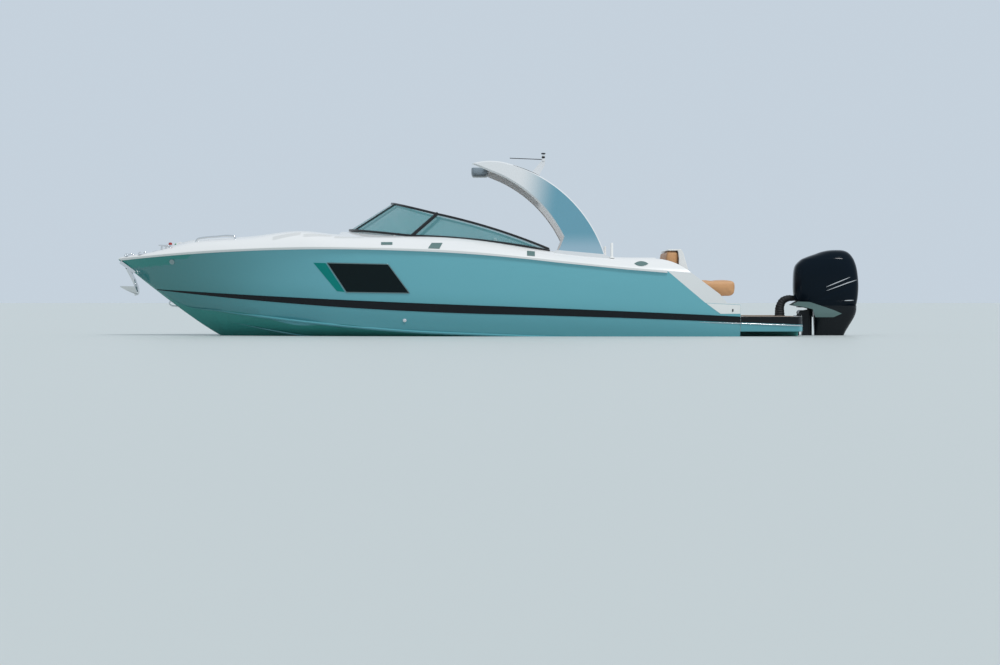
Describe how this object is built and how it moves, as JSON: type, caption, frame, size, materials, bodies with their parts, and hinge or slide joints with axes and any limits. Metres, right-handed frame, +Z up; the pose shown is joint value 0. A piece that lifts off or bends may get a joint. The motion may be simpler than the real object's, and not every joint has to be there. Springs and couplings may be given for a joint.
{
  "type": "outboard bowrider speedboat",
  "caption": "Open bow speedboat with a forward-swept arch, wrapped windscreen, tan seating, swim platform and a tilting, steering outboard.",
  "frame": {"origin": "amidships on the centreline at the waterline", "axes": "+X towards the stern, +Y to starboard, +Z up"},
  "size_m": [9.799, 2.6648, 3.35],
  "materials": {
    "gelcoat": "glossy white gelcoat",
    "deck_gelcoat": "glossy white gelcoat",
    "arch_gelcoat": "glossy white gelcoat",
    "rub_rail": "semi-gloss vinyl",
    "stripe": "glossy black",
    "dark_glass": "dark tinted acrylic",
    "accent": "glossy teal grey",
    "grey_plastic": "satin grey",
    "black_plastic": "satin black",
    "black_frame": "black anodised",
    "screen_glass": "lightly tinted glass",
    "stainless": "polished stainless",
    "upholstery": "caramel vinyl",
    "seat_shell": "white moulding",
    "aluminium": "brushed",
    "mat": "ribbed foam decking",
    "black_metal": "glossy black paint",
    "cowl_black": "deep glossy black",
    "hose_rubber": "matt black rubber"
  },
  "bodies": {
    "boat": {"hull": "gelcoat", "deck": "deck_gelcoat", "rub_rail": "rub_rail", "boot_stripe": "stripe", "hull_windows": "dark_glass", "window_accents": "accent", "side_vents": "grey_plastic", "docking_lights": "stainless", "arch_legs": "arch_gelcoat", "arch_roof": "arch_gelcoat", "light_mast": "arch_gelcoat", "masthead_lamp": "black_plastic", "antenna": "black_plastic", "windscreen_frame": "black_frame", "windscreen_front_glass": "screen_glass", "windscreen_side_glass": "screen_glass", "bow_rails": "stainless", "cleats": "stainless", "stem_roller": "stainless", "anchor": "stainless", "bow_eye": "stainless", "bow_seat_pads": "upholstery", "bow_backrests": "upholstery", "helm_console": "deck_gelcoat", "companion_console": "deck_gelcoat", "dash_panel": "black_plastic", "throttle": "black_plastic", "seat_pedestals": "aluminium", "sole_mats": "mat", "bench_base": "deck_gelcoat", "bench_seat_cushions": "upholstery", "bench_back_cushion": "upholstery", "lounge_shell": "seat_shell", "lounge_cushion": "upholstery", "swim_platform": "deck_gelcoat", "clamp_bracket": "black_metal", "rigging_hose": "hose_rubber"},
    "steering_wheel": {"steering_wheel": "black_plastic"},
    "bow_door": {"bow_door": "deck_gelcoat"},
    "transom_gate": {"transom_gate": "deck_gelcoat"},
    "anchor_hatch": {"anchor_hatch": "deck_gelcoat"},
    "helm_seat": {"helm_seat_shell": "seat_shell", "helm_seat_cushions": "upholstery"},
    "companion_seat": {"companion_seat_shell": "seat_shell", "companion_seat_cushions": "upholstery"},
    "tilt_bracket": {"swivel_bracket": "black_metal"},
    "outboard": {"outboard_leg": "black_metal", "outboard_cowl": "cowl_black", "outboard_side_panels": "grey_plastic", "powerhead": "black_metal"},
    "propeller": {"propeller": "stainless"}
  },
  "joints": [
    {"name": "steering_wheel_turn", "type": "hinge", "parent": "boat", "child": "steering_wheel", "pos_m": [-0.46608, 0.56, 1.1765], "axis": [0.866, 0, 0.5], "range_deg": [-540, 540]},
    {"name": "bow_door_hinge", "type": "hinge", "parent": "boat", "child": "bow_door", "pos_m": [-1.475, -0.252, 0.42], "axis": [0, 0, -1], "range_deg": [0, 88]},
    {"name": "transom_gate_hinge", "type": "hinge", "parent": "boat", "child": "transom_gate", "pos_m": [3.022, 0.5, 0.306], "axis": [0, 0, 1], "range_deg": [0, 90]},
    {"name": "anchor_hatch_hinge", "type": "hinge", "parent": "boat", "child": "anchor_hatch", "pos_m": [-3.634, 0, 1.21997], "axis": [0, 1, 0], "range_deg": [0, 100]},
    {"name": "helm_seat_swivel", "type": "hinge", "parent": "boat", "child": "helm_seat", "pos_m": [0.2, 0.56, 0.56], "axis": [0, 0, 1], "range_deg": [-180, 180]},
    {"name": "companion_seat_swivel", "type": "hinge", "parent": "boat", "child": "companion_seat", "pos_m": [0.2, -0.56, 0.56], "axis": [0, 0, 1], "range_deg": [-180, 180]},
    {"name": "outboard_tilt", "type": "hinge", "parent": "boat", "child": "tilt_bracket", "pos_m": [4.53, 0, 0.3], "axis": [0, -1, 0], "range_deg": [-6, 65], "deforming": ["rigging_hose"]},
    {"name": "outboard_steer", "type": "hinge", "parent": "tilt_bracket", "child": "outboard", "pos_m": [4.64, 0, 0.3], "axis": [0, 0, 1], "range_deg": [-30, 30]},
    {"name": "propeller_spin", "type": "hinge", "parent": "outboard", "child": "propeller", "pos_m": [5.24, 0, -0.7], "axis": [1, 0, 0], "continuous": true}
  ]
}
